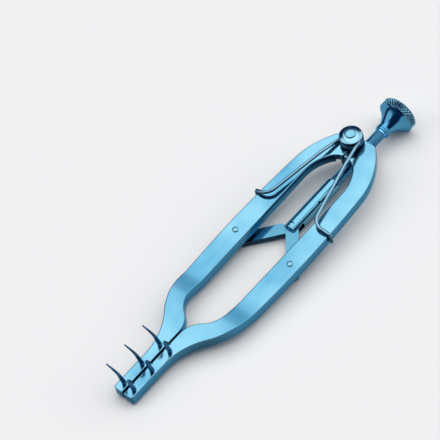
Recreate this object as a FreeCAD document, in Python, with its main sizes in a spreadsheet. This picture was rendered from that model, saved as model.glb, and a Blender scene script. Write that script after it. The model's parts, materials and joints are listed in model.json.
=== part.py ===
import FreeCAD, Part
import math
import os
import re

import Sketcher
from FreeCAD import Rotation, Vector

# A 7 cm screw-spread self retaining retractor with three sharp prongs on each side.
# Every sub-part is drawn from the hinge: X runs towards the thumb knob with 0 at the hinge pin,
# Y runs to the left with 0 on the screw's axis, and Z runs up with 0 at the arms' underside.
# One shared Placement then puts the origin at the bottom centre of the whole instrument.

SIZES = [
    # reach of the instrument on both sides of the hinge pin
    ("tip_reach", 57.5),
    ("knob_reach", 11.0),
    ("hinge_offset", 1.1),
    # screw and the level that it runs at, below the arms' underside
    ("screw_drop", 1.15),
    ("screw_diameter", 2.0),
    ("thread_pitch", 0.4),
    ("spread_turns", 7),
    # clearances and fits
    ("running_clearance", 0.05),
    ("face_gap", 0.05),
    ("stack_gap", 0.02),
    # arms
    ("arm_thickness", 2.0),
    ("slit_gap", 0.26),
    ("tip_bar_width", 1.82),
    ("tip_round", 0.45),
    ("crank_lift", 0.8),
    ("crank_front", 38.7),
    ("crank_back", 34.4),
    ("inner_bend_front", 44.3),
    ("inner_bend_back", 37.2),
    ("outer_bend_front", 50.1),
    ("outer_bend_back", 35.4),
    ("window_half_front", 3.75),
    ("window_half_back", 4.0),
    ("arm_width_front", 3.4),
    ("bow_radius", 215),
    ("shoulder_reach", 7.45),
    ("shoulder_half", 7.0),
    ("crown_radius", 15),
    # crown: ears, arch and the half-lapped hinge
    ("arch_reach", 2.95),
    ("arch_length", 6.0),
    ("arch_nose_radius", 3.0),
    ("crown_split", 0.55),
    ("crown_gap", 0.2),
    ("ear_recess_radius", 3.6),
    ("ear_recess", 0.7),
    ("lap_radius", 1.75),
    ("lap_gap", 0.04),
    ("left_heel_reach", 0.3),
    ("left_heel_half", 4.1),
    ("left_heel_radius", 1.8),
    ("left_heel_end", 1.5),
    ("left_heel_drop", 0.6),
    ("right_heel_reach", 1.55),
    ("right_heel_half", 2.6),
    ("right_heel_inner", 0.45),
    # prongs
    ("prong_inset", 1.55),
    ("prong_spacing", 4.2),
    ("prong_diameter", 0.8),
    ("prong_tip_diameter", 0.24),
    ("prong_post", 2.7),
    ("prong_bend_radius", 1.7),
    ("prong_bend_angle", 65),
    ("prong_point", 1.0),
    ("prong_lean_angle", 8),
    ("prong_seat_depth", 1.2),
    ("prong_seat_diameter", 0.5),
    # hinge pin, nut block, cap and spring
    ("pin_diameter", 1.5),
    ("pin_head_diameter", 2.0),
    ("pin_head_height", 0.35),
    ("rivet_crown", 0.6),
    ("pin_spigot_diameter", 1.0),
    ("pin_spigot_depth", 0.85),
    ("nut_length", 4.2),
    ("nut_left_width", 2.2),
    ("nut_right_width", 1.7),
    ("nut_wall", 0.55),
    ("nut_edge", 0.35),
    ("cap_diameter", 3.9),
    ("cap_rim", 0.4),
    ("cap_dome", 0.3),
    ("cap_bevel", 0.85),
    ("wire_diameter", 0.6),
    ("coil_radius", 1.75),
    ("coil_turns", 1.5),
    ("coil_pitch", 0.62),
    ("coil_clearance", 0.03),
    ("leg_start", 0.6),
    ("leg_end_reach", 16.4),
    ("leg_left_half", 5.4),
    ("leg_right_half", 4.4),
    ("leg_bend_radius", 2.0),
    ("leg_stand_off", 0.5),
    ("hook_clearance", 0.04),
    ("hook_drop", 2.0),
    ("hook_radius", 0.5),
    # thumb knob
    ("collar_play", 0.9),
    ("collar_length", 0.8),
    ("collar_diameter", 2.5),
    ("neck_diameter", 2.2),
    ("rim_diameter", 6.5),
    ("rim_width", 1.5),
    ("rim_edge", 0.2),
    ("flare_radius", 5.0),
    ("knob_shank_diameter", 1.3),
    ("knob_face_dish", 0.25),
    # sleeve, its fork and the screw's held end
    ("sleeve_diameter", 2.5),
    ("sleeve_back", 6.6),
    ("sleeve_edge", 0.15),
    ("apex_reach", 17.2),
    ("fork_depth", 1.55),
    ("fork_reach", 0.8),
    ("screw_end_reach", 12.6),
    ("neck_turn_diameter", 1.0),
    ("neck_turn_reach", 11.6),
    ("neck_turn_width", 0.7),
    ("retaining_pin_diameter", 0.5),
    ("apex_pin_diameter", 0.9),
    # toggle links and their pins
    ("link_thickness", 1.0),
    ("link_width", 2.1),
    ("link_pin_reach", 24.1),
    ("link_pin_half", 5.75),
    ("link_slot_play", 0.38),
    ("link_side_play", 0.06),
    ("link_pin_diameter", 0.9),
    ("link_pin_collar", 1.5),
    ("link_pin_head_diameter", 1.0),
    ("link_pin_head_height", 0.22),
    ("link_pin_tail_diameter", 1.3),
    ("link_pin_tail_height", 0.25),
]

# Places that several sub-parts share, each worked out from the sizes above.
PLACES = {
    "screw_level": "(-screw_drop)",
    "tip_top": "(arm_thickness + crank_lift)",
    "bar_inner": "(slit_gap / 2)",
    "bar_outer": "(slit_gap / 2 + tip_bar_width)",
    "bar_middle": "(slit_gap / 2 + tip_bar_width / 2)",
    "bend_outer": "(window_half_front + arm_width_front)",
    "nose_centre": "(arch_reach + arch_nose_radius)",
    "nose_setback": "(arch_length - arch_nose_radius)",
    "arch_side_radius": "((nose_setback^2 + window_half_back^2 - arch_nose_radius^2)"
                        " / (2 * (window_half_back - arch_nose_radius)))",
    "arch_side_share": "(arch_nose_radius / (arch_side_radius - arch_nose_radius))",
    "lap_level": "(ear_recess / 2 + arm_thickness / 2)",
    "nut_top": "(ear_recess - face_gap)",
    "nut_bottom": "(-screw_drop - screw_diameter / 2 - nut_wall)",
    "collar_front": "(nut_length / 2 + thread_pitch * spread_turns + collar_play)",
    "wire_radius": "(wire_diameter / 2)",
    "bow_at_hook": "((bend_outer + shoulder_half) / 2 + sqrt(bow_radius^2"
                   " - (leg_end_reach - (outer_bend_back + shoulder_reach) / 2)^2)"
                   " - sqrt(bow_radius^2 - ((outer_bend_back - shoulder_reach) / 2)^2))",
    "leg_rise": "(leg_start * coil_pitch / (2 * pi * coil_radius))",
    "leg_rest": "(arm_thickness + coil_clearance + wire_diameter / 2)",
    "coil_base": "(leg_rest + leg_rise)",
    "coil_top": "(coil_base + wire_diameter / 2 + coil_turns * coil_pitch + leg_rise)",
    "cap_base": "(coil_top + coil_clearance)",
    "cap_top": "(cap_base + cap_rim + cap_dome)",
    "link_top": "(-screw_drop + link_thickness / 2)",
    "link_base": "(-screw_drop - link_thickness / 2)",
    "knob_shoulder": "(collar_front + collar_length)",
    "rim_front": "(knob_reach - rim_width)",
    "link_lap_reach": "(link_width / 2 * (link_pin_reach - apex_reach) / link_pin_half"
                      " + 2 * running_clearance)",
    "link_length": "sqrt((link_pin_reach - apex_reach)^2 + link_pin_half^2)",
}

SIDES = {"left": 1, "right": -1}
PRONGS_PER_SIDE = 3

doc = FreeCAD.newDocument("retractor")
sheet = doc.addObject("Spreadsheet::Sheet", "Sizes")
for row, (alias, size) in enumerate(SIZES, start=1):
    sheet.set(f"A{row}", alias)
    sheet.set(f"B{row}", str(size))
    sheet.setAlias(f"B{row}", alias)
doc.recompute()

SIZE_NAMES = {alias for alias, size in SIZES}


def cells(formula):
    """The formula with each shared place spelt out and each size's name read from the sheet."""
    text = str(formula)
    while any(re.search(rf"\b{place}\b", text) for place in PLACES):
        text = re.sub(r"[a-z_]+", lambda word: PLACES.get(word.group(), word.group()), text)
    return re.sub(r"[a-z_]+", lambda word: f"Sizes.{word.group()}"
                  if word.group() in SIZE_NAMES else word.group(), text)


def value(formula):
    """The formula's present value, in millimetres or as a plain number."""
    return float(sheet.evalExpression(cells(formula)))


def place(sub_part, label, x="0", y="0", z="0", turn=None):
    """Give a finished sub-part its label and the shared Placement, moved by x, y and z."""
    sub_part.Label = label
    if turn is not None:
        sub_part.Placement = FreeCAD.Placement(Vector(), turn)
    sub_part.setExpression("Placement.Base.x", cells(f"(tip_reach - knob_reach) / 2 + {x}"))
    sub_part.setExpression("Placement.Base.y", cells(y))
    sub_part.setExpression("Placement.Base.z", cells(f"rim_diameter / 2 + screw_drop + {z}"))
    sub_parts.append(sub_part)
    return sub_part


sub_parts = []


def plane_of(body, role):
    return next(feature for feature in body.Origin.OriginFeatures if feature.Role == role)


def sketch_on(body, role, name, lift=None):
    """An empty sketch on one of the body's own planes, lifted along that plane's normal."""
    sketch = body.newObject("Sketcher::SketchObject", name)
    sketch.AttachmentSupport = (plane_of(body, role), [""])
    sketch.MapMode = "FlatFace"
    if lift is not None:
        sketch.setExpression("AttachmentOffset.Base.z", cells(lift))
    return sketch


def pin_down(sketch, kind, geometry, point, formula):
    """Hold one point of the sketch at a distance from its origin that the sheet gives."""
    index = sketch.addConstraint(
        Sketcher.Constraint(kind, -1, 1, geometry, point, value(formula)))
    sketch.setExpression(f"Constraints[{index}]", cells(formula))


def draw_circle(sketch, x, y, diameter):
    centre = Vector(value(x), value(y), 0)
    circle = Part.Circle(centre, Vector(0, 0, 1), value(diameter) / 2)
    geometry = sketch.addGeometry(circle, False)
    pin_down(sketch, "DistanceX", geometry, 3, x)
    pin_down(sketch, "DistanceY", geometry, 3, y)
    index = sketch.addConstraint(
        Sketcher.Constraint("Diameter", geometry, value(diameter)))
    sketch.setExpression(f"Constraints[{index}]", cells(diameter))


def arc_between(start, end, radius, bends_left):
    """The arc of the given radius, under half a turn, from start to end."""
    chord = end - start
    middle = (start + end) / 2
    across = Vector(-chord.y, chord.x, 0).normalize()
    height = math.sqrt(max(radius**2 - chord.Length**2 / 4, 0))
    centre = middle + across * (height if bends_left else -height)
    first, last = (start, end) if bends_left else (end, start)
    angles = [math.atan2(point.y - centre.y, point.x - centre.x) for point in (first, last)]
    circle = Part.Circle(centre, Vector(0, 0, 1), radius)
    return Part.ArcOfCircle(circle, angles[0], angles[1])


def draw_chain(sketch, steps):
    """Draw a closed chain of lines and arcs. A step is (x, y) where a straight edge goes on from the
    corner, or (x, y, radius, side) where an arc goes on that bends to that side."""
    corners = [Vector(value(step[0]), value(step[1]), 0) for step in steps]
    edges = []
    for step, start, end in zip(steps, corners, corners[1:] + corners[:1]):
        if len(step) == 2:
            geometry = sketch.addGeometry(Part.LineSegment(start, end), False)
            edges.append((geometry, 1, 2))
            continue
        bends_left = step[3] == "left"
        arc = arc_between(start, end, value(step[2]), bends_left)
        geometry = sketch.addGeometry(arc, False)
        edges.append((geometry, 1, 2) if bends_left else (geometry, 2, 1))
    for step, (geometry, first, last) in zip(steps, edges):
        pin_down(sketch, "DistanceX", geometry, first, step[0])
        pin_down(sketch, "DistanceY", geometry, first, step[1])
    for (geometry, first, last), follower in zip(edges, edges[1:] + edges[:1]):
        sketch.addConstraint(
            Sketcher.Constraint("Coincident", geometry, last, follower[0], follower[1]))
    for step, (geometry, first, last) in zip(steps, edges):
        if len(step) == 4:
            constraint = sketch.addConstraint(
                Sketcher.Constraint("Radius", geometry, value(step[2])))
            sketch.setExpression(f"Constraints[{constraint}]", cells(step[2]))


def pad(body, sketch, length, name):
    feature = body.newObject("PartDesign::Pad", name)
    feature.Profile = sketch
    feature.setExpression("Length", cells(length))
    return feature


def pocket(body, sketch, name, depth=None, upwards=False):
    """Cut along the sketch's normal, upwards or downwards, or right through both ways."""
    feature = body.newObject("PartDesign::Pocket", name)
    feature.Profile = sketch
    if depth is None:
        feature.Type = "ThroughAll"
        feature.Midplane = True
    else:
        feature.setExpression("Length", cells(depth))
        feature.Reversed = upwards
    return feature


def revolve(body, sketch, kind, name, axis):
    feature = body.newObject(kind, name)
    feature.Profile = sketch
    feature.ReferenceAxis = (sketch, [axis])
    feature.Angle = 360
    return feature


# Arms

def bend_radius(run, rise):
    """Radius of each of the two equal arcs of an S-bend that is level at both ends."""
    return f"((({run})^2 + ({rise})^2) / (4 * ({rise})))"


def arm_outline(side):
    """Plan of one arm without its round hinge ear, from the tip end along the window first."""
    sign = SIDES[side]
    window = "left" if sign > 0 else "right"
    outer = "right" if sign > 0 else "left"
    inner_run = "inner_bend_front - inner_bend_back"
    inner_rise = "window_half_front - bar_inner"
    outer_run = "outer_bend_front - outer_bend_back"
    outer_rise = "bend_outer - bar_outer"
    inner_radius = bend_radius(inner_run, inner_rise)
    outer_radius = bend_radius(outer_run, outer_rise)
    split = "(crown_split + crown_gap / 2)" if sign > 0 else "(-(crown_split - crown_gap / 2))"
    arch_end = f"(sqrt(arch_nose_radius^2 - {split}^2) - nose_centre)"
    steps = [
        ("-tip_reach", "bar_inner"),
        ("-inner_bend_front", "bar_inner", inner_radius, window),
        ("-(inner_bend_front + inner_bend_back) / 2", "(bar_inner + window_half_front) / 2",
         inner_radius, outer),
        ("-inner_bend_back", "window_half_front"),
        ("-arch_reach - arch_length", "window_half_back", "arch_side_radius", outer),
        ("nose_setback * arch_side_share - nose_centre",
         "(arch_side_radius - window_half_back) * arch_side_share", "arch_nose_radius", outer),
        (arch_end, split),
    ]
    if sign > 0:
        steps += [
            ("0", split),
            ("0", "hinge_offset"),
            ("left_heel_end", "hinge_offset + left_heel_drop", "left_heel_radius", window),
            ("left_heel_reach", "left_heel_half", "crown_radius", window),
        ]
    else:
        steps += [
            ("0", split),
            ("right_heel_reach", "right_heel_inner"),
            ("right_heel_reach", "right_heel_half", "crown_radius", window),
        ]
    steps += [
        ("-shoulder_reach", "shoulder_half", "bow_radius", window),
        ("-outer_bend_back", "bend_outer", outer_radius, window),
        ("-(outer_bend_front + outer_bend_back) / 2", "(bar_outer + bend_outer) / 2",
         outer_radius, outer),
        ("-outer_bend_front", "bar_outer"),
        ("-(tip_reach - tip_round)", "bar_outer", "tip_round", window),
        ("-tip_reach", "bar_outer - tip_round"),
    ]
    return [(step[0], f"{sign} * ({step[1]})", *step[2:]) for step in steps]


def make_arm(side):
    """One arm: a flat bar, cranked up at the tip, with a half-lapped ear round the hinge pin."""
    sign = SIDES[side]
    body = doc.addObject("PartDesign::Body", f"{side}_arm")
    plan = sketch_on(body, "XY_Plane", f"{side}_arm_plan")
    draw_chain(plan, arm_outline(side))
    pad(body, plan, "tip_top", f"{side}_arm_bar")

    under = sketch_on(body, "XZ_Plane", f"{side}_arm_under_crank")
    draw_chain(under, [
        ("-tip_reach - arm_thickness", "-arm_thickness"),
        ("-crank_back", "-arm_thickness"),
        ("-crank_back", "0"),
        ("-crank_front", "crank_lift"),
        ("-tip_reach - arm_thickness", "crank_lift"),
    ])
    pocket(body, under, f"{side}_arm_crank_underside")

    over = sketch_on(body, "XZ_Plane", f"{side}_arm_over_crank")
    draw_chain(over, [
        ("-crank_front", "tip_top"),
        ("-crank_back", "arm_thickness"),
        ("lap_radius + arm_thickness", "arm_thickness"),
        ("lap_radius + arm_thickness", "tip_top + arm_thickness"),
        ("-crank_front", "tip_top + arm_thickness"),
    ])
    pocket(body, over, f"{side}_arm_crank_top")

    recess = sketch_on(body, "XY_Plane", f"{side}_ear_recess_plan")
    draw_circle(recess, "0", "hinge_offset", "2 * ear_recess_radius")
    pocket(body, recess, f"{side}_ear_recess", "ear_recess", upwards=True)

    # the left ear keeps its lower half under the right ear's upper half
    lap = "lap_level - lap_gap / 2" if sign > 0 else "lap_level + lap_gap / 2"
    lap_cut = sketch_on(body, "XY_Plane", f"{side}_lap_plan", lap)
    draw_circle(lap_cut, "0", "hinge_offset", "2 * (lap_radius + running_clearance)")
    if sign > 0:
        pocket(body, lap_cut, f"{side}_lap", "arm_thickness", upwards=True)
    else:
        pocket(body, lap_cut, f"{side}_lap", "arm_thickness")
    doc.recompute()

    ear_base = "ear_recess" if sign > 0 else lap
    ear_height = f"{lap} - ear_recess" if sign > 0 else f"arm_thickness - ({lap})"
    ear = sketch_on(body, "XY_Plane", f"{side}_ear_plan", ear_base)
    draw_circle(ear, "0", "hinge_offset", "2 * lap_radius")
    pad(body, ear, ear_height, f"{side}_ear")

    pin_hole = sketch_on(body, "XY_Plane", f"{side}_pin_hole_plan")
    draw_circle(pin_hole, "0", "hinge_offset", "pin_diameter + 2 * running_clearance")
    pocket(body, pin_hole, f"{side}_pin_hole")

    link_hole = sketch_on(body, "XY_Plane", f"{side}_link_hole_plan")
    draw_circle(link_hole, "-link_pin_reach", f"{sign} * link_pin_half", "link_pin_diameter")
    pocket(body, link_hole, f"{side}_link_hole")

    seats = sketch_on(body, "XY_Plane", f"{side}_prong_seats_plan", "tip_top")
    for index in range(PRONGS_PER_SIDE):
        draw_circle(seats, f"-tip_reach + prong_inset + {index} * prong_spacing",
                    f"{sign} * bar_middle", "prong_seat_diameter")
    pocket(body, seats, f"{side}_prong_seats", "prong_seat_depth")
    return place(body, f"{side}_arm")


# Prongs

def make_prong(side, number):
    """A curved, tapering prong: a post that bends outwards to a fine point, and its spigot."""
    sign = SIDES[side]
    post = value("prong_post")
    radius = value("prong_bend_radius")
    angle = math.radians(value("prong_bend_angle"))
    point = value("prong_point")
    depth = value("prong_seat_depth")
    lean = Rotation(Vector(0, 1, 0), -value("prong_lean_angle"))

    def on_bend(turned_by):
        out = radius * (1 - math.cos(turned_by))
        return lean.multVec(Vector(0, sign * out, post + radius * math.sin(turned_by)))

    foot = Vector(0, 0, 0)
    heading = lean.multVec(Vector(0, sign * math.sin(angle), math.cos(angle)))
    tip = on_bend(angle) + heading * point
    path = Part.Wire([
        Part.LineSegment(foot, on_bend(0)).toShape(),
        Part.Arc(on_bend(0), on_bend(angle / 2), on_bend(angle)).toShape(),
        Part.LineSegment(on_bend(angle), tip).toShape(),
    ])
    base_radius = value("prong_diameter") / 2
    tip_radius = value("prong_tip_diameter") / 2
    length = post + radius * angle + point
    bend_end_radius = tip_radius + (base_radius - tip_radius) * point / length
    rings = [
        Part.Wire(Part.makeCircle(base_radius, foot, Vector(0, 0, 1))),
        Part.Wire(Part.makeCircle(bend_end_radius, on_bend(angle), heading)),
        Part.Wire(Part.makeCircle(tip_radius, tip, heading)),
    ]
    claw = path.makePipeShell(rings, True, False)
    spigot = Part.makeCylinder(value("prong_seat_diameter") / 2, depth, Vector(0, 0, -depth))
    prong = doc.addObject("Part::Feature", f"{side}_prong_{number}")
    prong.Shape = claw.fuse(spigot)
    return place(prong, f"{side}_prong_{number}",
                 f"-tip_reach + prong_inset + {number - 1} * prong_spacing",
                 f"{sign} * bar_middle", "tip_top")


# Hinge pin, nut block, cap and spring

def turned(name, axis_role, steps, axis):
    """A turned piece: a closed half profile on a plane through the axis, revolved about it."""
    body = doc.addObject("PartDesign::Body", name)
    sketch = sketch_on(body, axis_role, f"{name}_profile")
    draw_chain(sketch, steps)
    revolve(body, sketch, "PartDesign::Revolution", f"{name}_turned", axis)
    return body


def make_hinge_pin():
    """The rivet that the ears turn on: spigot in the nut block, plain shank and domed head."""
    spigot = "pin_spigot_diameter / 2"
    shank = "pin_diameter / 2"
    head = "pin_head_diameter / 2"
    head_base = "cap_top + stack_gap"
    body = turned("hinge_pin", "XZ_Plane", [
        ("0", "nut_top - pin_spigot_depth"),
        (spigot, "nut_top - pin_spigot_depth"),
        (spigot, "nut_top"),
        (shank, "nut_top"),
        (shank, head_base),
        (head, head_base),
        (head, f"{head_base} + pin_head_height / 2"),
        (f"{head} * rivet_crown", f"{head_base} + pin_head_height"),
        ("0", f"{head_base} + pin_head_height"),
    ], "V_Axis")
    return place(body, "hinge_pin", "0", "hinge_offset")


def make_hinge_cap():
    """The cap over the coil: a thin rim, a broad bevel and a flat top with the pin's hole."""
    bore = "pin_diameter / 2 + running_clearance"
    rim = "cap_diameter / 2"
    body = turned("hinge_cap", "XZ_Plane", [
        (bore, "cap_base"),
        (rim, "cap_base"),
        (rim, "cap_base + cap_rim"),
        (f"{rim} - cap_bevel", "cap_top"),
        (bore, "cap_top"),
    ], "V_Axis")
    return place(body, "hinge_cap", "0", "hinge_offset")


def make_nut_block():
    """The block under the ears that the screw runs in, with the seat of the hinge pin."""
    body = doc.addObject("PartDesign::Body", "nut_block")
    outline = sketch_on(body, "YZ_Plane", "nut_section", "-nut_length / 2")
    draw_chain(outline, [
        ("-nut_right_width + nut_edge", "nut_bottom"),
        ("nut_left_width - nut_edge", "nut_bottom"),
        ("nut_left_width", "nut_bottom + nut_edge"),
        ("nut_left_width", "nut_top"),
        ("-nut_right_width", "nut_top"),
        ("-nut_right_width", "nut_bottom + nut_edge"),
    ])
    pad(body, outline, "nut_length", "nut_bar")
    bore = sketch_on(body, "YZ_Plane", "nut_bore_plan")
    draw_circle(bore, "0", "screw_level", "screw_diameter + 2 * running_clearance")
    pocket(body, bore, "nut_bore")
    seat = sketch_on(body, "XY_Plane", "nut_seat_plan", "nut_top")
    draw_circle(seat, "0", "hinge_offset", "pin_spigot_diameter")
    pocket(body, seat, "nut_seat", "pin_spigot_depth")
    return place(body, "nut_block")


def rounded_path(points, radii):
    """Edges along the points, with an arc of the given radius at each inner corner."""
    edges = []
    start = points[0]
    for before, corner, after, radius in zip(points, points[1:], points[2:], radii):
        inward = (before - corner).normalize()
        outward = (after - corner).normalize()
        half = inward.getAngle(outward) / 2
        setback = radius / math.tan(half)
        first = corner + inward * setback
        last = corner + outward * setback
        centre = corner + (inward + outward).normalize() * (radius / math.sin(half))
        middle = centre + (corner - centre).normalize() * radius
        edges.append(Part.LineSegment(start, first).toShape())
        edges.append(Part.Arc(first, middle, last).toShape())
        start = last
    edges.append(Part.LineSegment(start, points[-1]).toShape())
    return edges


def leg_points(side, level):
    """One spring leg from the coil: a little above the arm, then down and outwards to its edge
    and hooked over it."""
    sign = SIDES[side]
    beside = value("hinge_offset") + sign * value("coil_radius")
    start = value("leg_start")
    rest = value("leg_rest")
    reach = value("leg_end_reach")
    outer = value("bow_at_hook + hook_clearance + wire_radius")
    return [
        Vector(0, beside, level),
        Vector(-start, beside, level - sign * value("leg_rise")),
        Vector(-reach, sign * value(f"leg_{side}_half"), rest + value("leg_stand_off")),
        Vector(-reach, sign * outer, rest),
        Vector(-reach, sign * outer, rest - value("hook_drop")),
    ]


def make_torsion_spring():
    """The wire spring: a close coil on the hinge pin with a hooked leg along each arm."""
    rise = value("coil_turns * coil_pitch")
    base = value("coil_base")
    radii = [value("leg_bend_radius"), value("leg_bend_radius"), value("hook_radius")]
    coil = Part.makeHelix(value("coil_pitch"), rise, value("coil_radius"), 0, True)
    coil.rotate(Vector(), Vector(0, 0, 1), 90)
    coil.translate(Vector(0, value("hinge_offset"), base))
    paths = [
        Part.Wire(coil.Edges),
        Part.Wire(rounded_path(leg_points("left", base), radii)),
        Part.Wire(rounded_path(leg_points("right", base + rise), radii)),
    ]
    solids = []
    for path in paths:
        first = path.OrderedEdges[0]
        start = path.OrderedVertexes[0].Point
        ring = Part.makeCircle(value("wire_radius"), start, first.tangentAt(first.FirstParameter))
        solids.append(path.makePipeShell([Part.Wire(ring)], True, True))
    spring = doc.addObject("Part::Feature", "torsion_spring")
    spring.Shape = solids[0].fuse(solids[1:])
    return place(spring, "torsion_spring")


# Screw and thumb knob

def make_screw_spindle():
    """The threaded rod, with the shank that the knob is pressed on and the neck at its end."""
    thread = "screw_diameter / 2"
    neck = "neck_turn_diameter / 2"
    shank = "knob_shank_diameter / 2"
    neck_back = "-(neck_turn_reach - neck_turn_width)"
    body = turned("screw_spindle", "XZ_Plane", [
        ("-screw_end_reach", "0"),
        ("-screw_end_reach", f"{thread} - sleeve_edge"),
        ("-screw_end_reach + sleeve_edge", thread),
        ("-neck_turn_reach", thread),
        ("-neck_turn_reach", neck),
        (neck_back, neck),
        (neck_back, thread),
        ("collar_front", thread),
        ("collar_front", shank),
        ("rim_front", shank),
        ("rim_front", "0"),
    ], "H_Axis")
    return place(body, "screw_spindle", "0", "0", "screw_level")


def make_thumb_knob():
    """The trumpet-shaped knob: collar, neck, long flare and a broad rim for the fingers."""
    collar = "collar_diameter / 2"
    neck = "neck_diameter / 2"
    rim = "rim_diameter / 2"
    shank = "knob_shank_diameter / 2"
    body = turned("thumb_knob", "XZ_Plane", [
        ("collar_front", shank),
        ("collar_front", collar),
        ("knob_shoulder", collar),
        ("knob_shoulder", neck, "flare_radius", "left"),
        ("rim_front - rim_edge", f"{rim} - rim_edge"),
        ("rim_front", rim),
        ("knob_reach - rim_edge", rim),
        ("knob_reach", f"{rim} - rim_edge"),
        ("knob_reach", f"{rim} - 2 * rim_edge"),
        ("knob_reach - knob_face_dish", f"{rim} - 3 * rim_edge"),
        ("knob_reach - knob_face_dish", "0"),
        ("rim_front", "0"),
        ("rim_front", shank),
    ], "H_Axis")
    return place(body, "thumb_knob", "0", "0", "screw_level")


# Sleeve, its pins and the toggle links

def make_sleeve():
    """The tube that the screw pushes: bored from behind and forked for the links."""
    outer = "sleeve_diameter / 2"
    bore = "screw_diameter / 2 + running_clearance"
    fork_end = "(apex_reach + fork_reach)"
    body = turned("sleeve", "XZ_Plane", [
        (f"-{fork_end}", "0"),
        (f"-{fork_end}", f"{outer} - sleeve_edge"),
        (f"-{fork_end} + sleeve_edge", outer),
        ("-sleeve_back - sleeve_edge", outer),
        ("-sleeve_back", f"{outer} - sleeve_edge"),
        ("-sleeve_back", bore),
        ("-screw_end_reach - face_gap", bore),
        ("-screw_end_reach - face_gap", "0"),
    ], "H_Axis")
    fork = sketch_on(body, "XZ_Plane", "fork_slot_side")
    draw_chain(fork, [
        (f"-{fork_end} - face_gap", "-link_thickness / 2 - face_gap"),
        ("-apex_reach + fork_depth", "-link_thickness / 2 - face_gap"),
        ("-apex_reach + fork_depth", "link_thickness / 2 + face_gap"),
        (f"-{fork_end} - face_gap", "link_thickness / 2 + face_gap"),
    ])
    pocket(body, fork, "fork_slot")
    pin_hole = sketch_on(body, "XY_Plane", "fork_pin_plan")
    draw_circle(pin_hole, "-apex_reach", "0", "apex_pin_diameter")
    pocket(body, pin_hole, "fork_pin_hole")
    retaining = sketch_on(body, "XZ_Plane", "retaining_pin_side")
    draw_circle(retaining, "-neck_turn_reach + neck_turn_width / 2",
                "neck_turn_diameter / 2 + running_clearance + retaining_pin_diameter / 2",
                "retaining_pin_diameter")
    pocket(body, retaining, "retaining_pin_hole")
    return place(body, "sleeve", "0", "0", "screw_level")


def make_retaining_pin():
    """The cross pin that lies in the screw's neck and keeps it in the sleeve."""
    pin = doc.addObject("Part::Cylinder", "retaining_pin")
    pin.setExpression("Radius", cells("retaining_pin_diameter / 2"))
    half = ("sqrt((sleeve_diameter / 2)^2 - (neck_turn_diameter / 2 + running_clearance"
            " + retaining_pin_diameter)^2)")
    pin.setExpression("Height", cells(f"2 * {half}"))
    turn = Rotation(Vector(1, 0, 0), 90)
    return place(pin, "retaining_pin", "-neck_turn_reach + neck_turn_width / 2", half,
                 "screw_level + neck_turn_diameter / 2 + running_clearance"
                 " + retaining_pin_diameter / 2", turn)


def make_apex_pin():
    """The rivet through the fork and the two link eyes, finished flush with the round tube."""
    shank = "apex_pin_diameter / 2"
    outer = "sleeve_diameter / 2"
    side = f"sqrt(({outer})^2 - ({shank})^2)"
    body = turned("apex_pin", "XZ_Plane", [
        ("0", f"-{outer}"),
        (f"{shank} * rivet_crown", f"-{outer}"),
        (shank, f"-{side}"),
        (shank, side),
        (f"{shank} * rivet_crown", outer),
        ("0", outer),
    ], "V_Axis")
    return place(body, "apex_pin", "-apex_reach", "0", "screw_level")


def make_link_pin(side):
    """The rivet through arm and link: domed head, collar between them and a riveted tail."""
    shank = "link_pin_diameter / 2"
    head = "link_pin_head_diameter / 2"
    collar = "link_pin_collar / 2"
    tail = "link_pin_tail_diameter / 2"
    body = turned(f"{side}_link_pin", "XZ_Plane", [
        ("0", "link_base - face_gap - link_pin_tail_height"),
        (tail, "link_base - face_gap - link_pin_tail_height"),
        (tail, "link_base - face_gap"),
        (shank, "link_base - face_gap"),
        (shank, "link_top + face_gap"),
        (collar, "link_top + face_gap"),
        (collar, "-stack_gap"),
        (shank, "-stack_gap"),
        (shank, "arm_thickness + stack_gap"),
        (head, "arm_thickness + stack_gap"),
        (head, "arm_thickness + stack_gap + link_pin_head_height / 2"),
        (f"{head} * rivet_crown", "arm_thickness + stack_gap + link_pin_head_height"),
        ("0", "arm_thickness + stack_gap + link_pin_head_height"),
    ], "V_Axis")
    sign = SIDES[side]
    return place(body, f"{side}_link_pin", "-link_pin_reach", f"{sign} * link_pin_half")


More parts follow.
